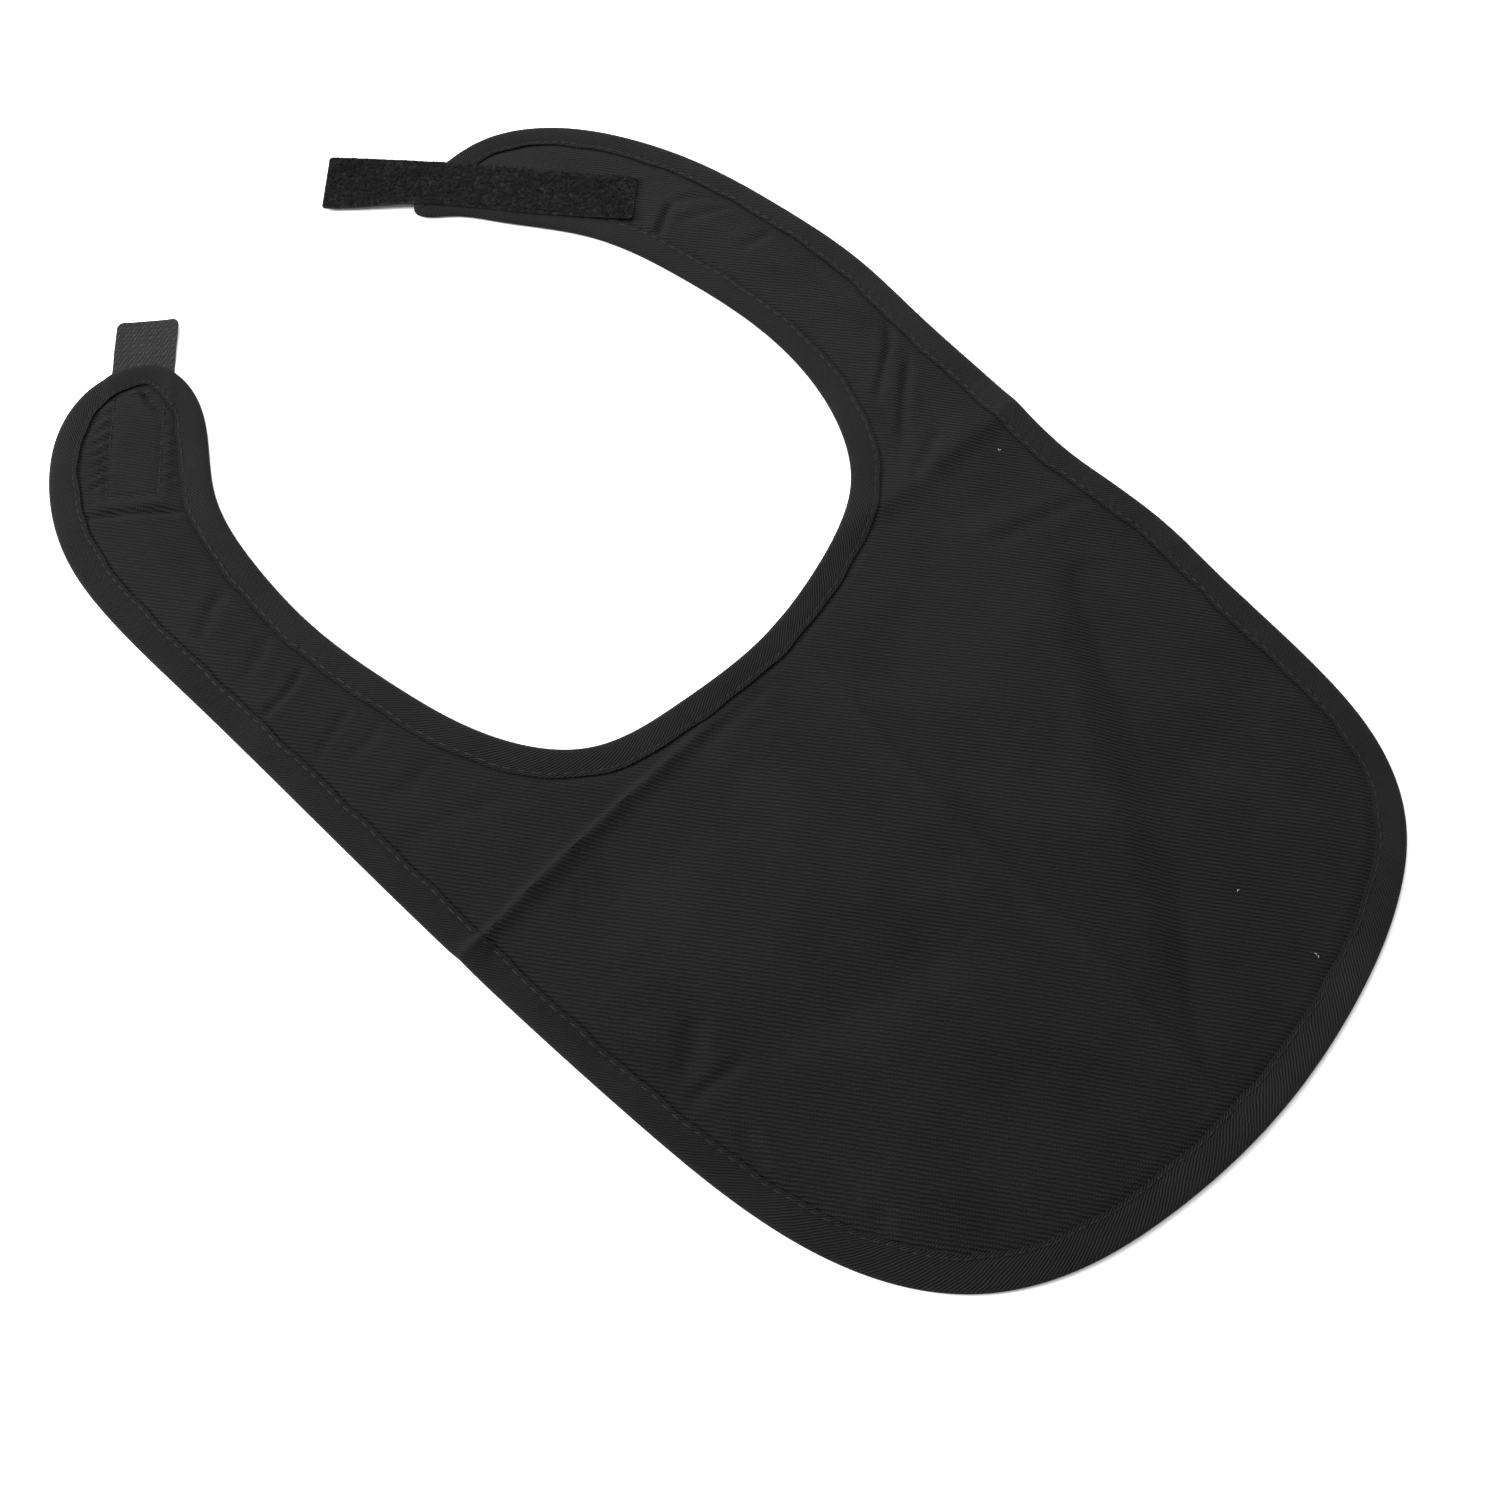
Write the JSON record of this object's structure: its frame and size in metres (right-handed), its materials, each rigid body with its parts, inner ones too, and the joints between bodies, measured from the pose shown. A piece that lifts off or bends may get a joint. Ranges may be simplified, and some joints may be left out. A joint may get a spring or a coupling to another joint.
{
  "type": "lead apron bib",
  "caption": "Lead-lined bib apron with neck arms, lying flat: twill covers over lead-vinyl sheets, bound edge, hook-and-loop neck closure.",
  "frame": {"origin": "middle of the outline's box, on the face that the apron lies on", "axes": "+X across the bib towards the arm with the loop tape, +Y from the hem to the arms' tips, +Z out of the front face"},
  "size_m": [0.2636, 0.4393, 0.0037],
  "materials": {
    "twill_cover": "black polyester-cotton twill, matte",
    "binding_tape": "black folded twill binding tape, slight sheen",
    "lead_vinyl": "dark grey lead-loaded vinyl sheet",
    "thread": "black polyester sewing thread",
    "hook_tape": "black woven nylon tape with hooks",
    "loop_tape": "black brushed nylon loop pile"
  },
  "bodies": {
    "bib": {"bib_front_cover": "twill_cover", "bib_back_cover": "twill_cover", "bib_front_lead_sheet": "lead_vinyl", "bib_back_lead_sheet": "lead_vinyl", "bib_edge_binding": "binding_tape", "bib_binding_thread": "thread"},
    "left_arm": {"left_arm_front_cover": "twill_cover", "left_arm_back_cover": "twill_cover", "left_arm_front_lead_sheet": "lead_vinyl", "left_arm_back_lead_sheet": "lead_vinyl", "left_arm_edge_binding": "binding_tape", "left_arm_binding_thread": "thread", "hook_tape": "hook_tape", "hook_tape_thread": "thread"},
    "right_arm": {"right_arm_front_cover": "twill_cover", "right_arm_back_cover": "twill_cover", "right_arm_front_lead_sheet": "lead_vinyl", "right_arm_back_lead_sheet": "lead_vinyl", "right_arm_edge_binding": "binding_tape", "right_arm_binding_thread": "thread", "loop_tape": "loop_tape", "loop_tape_thread": "thread"},
    "hook_tab": {"hook_tab": "hook_tape"},
    "loop_tab": {"loop_tab": "loop_tape"}
  },
  "joints": [
    {"name": "left_arm_fold", "type": "hinge", "parent": "bib", "child": "left_arm", "pos_m": [-0.08, -0.04004, 0.0044], "axis": [0.9961, 0.0885, 0], "range_deg": [0, 165]},
    {"name": "right_arm_fold", "type": "hinge", "parent": "bib", "child": "right_arm", "pos_m": [0.08, -0.0206, 0.0044], "axis": [1, 0, 0], "range_deg": [0, 165]},
    {"name": "hook_tab_flex", "type": "hinge", "parent": "left_arm", "child": "hook_tab", "pos_m": [-0.06779, 0.18889, 0.0012], "axis": [0.788, -0.6157, 0], "range_deg": [0, 90]},
    {"name": "loop_tab_flex", "type": "hinge", "parent": "right_arm", "child": "loop_tab", "pos_m": [0.04647, 0.18688, 0.0036], "axis": [0.7501, 0.6613, 0], "range_deg": [0, 90]}
  ]
}
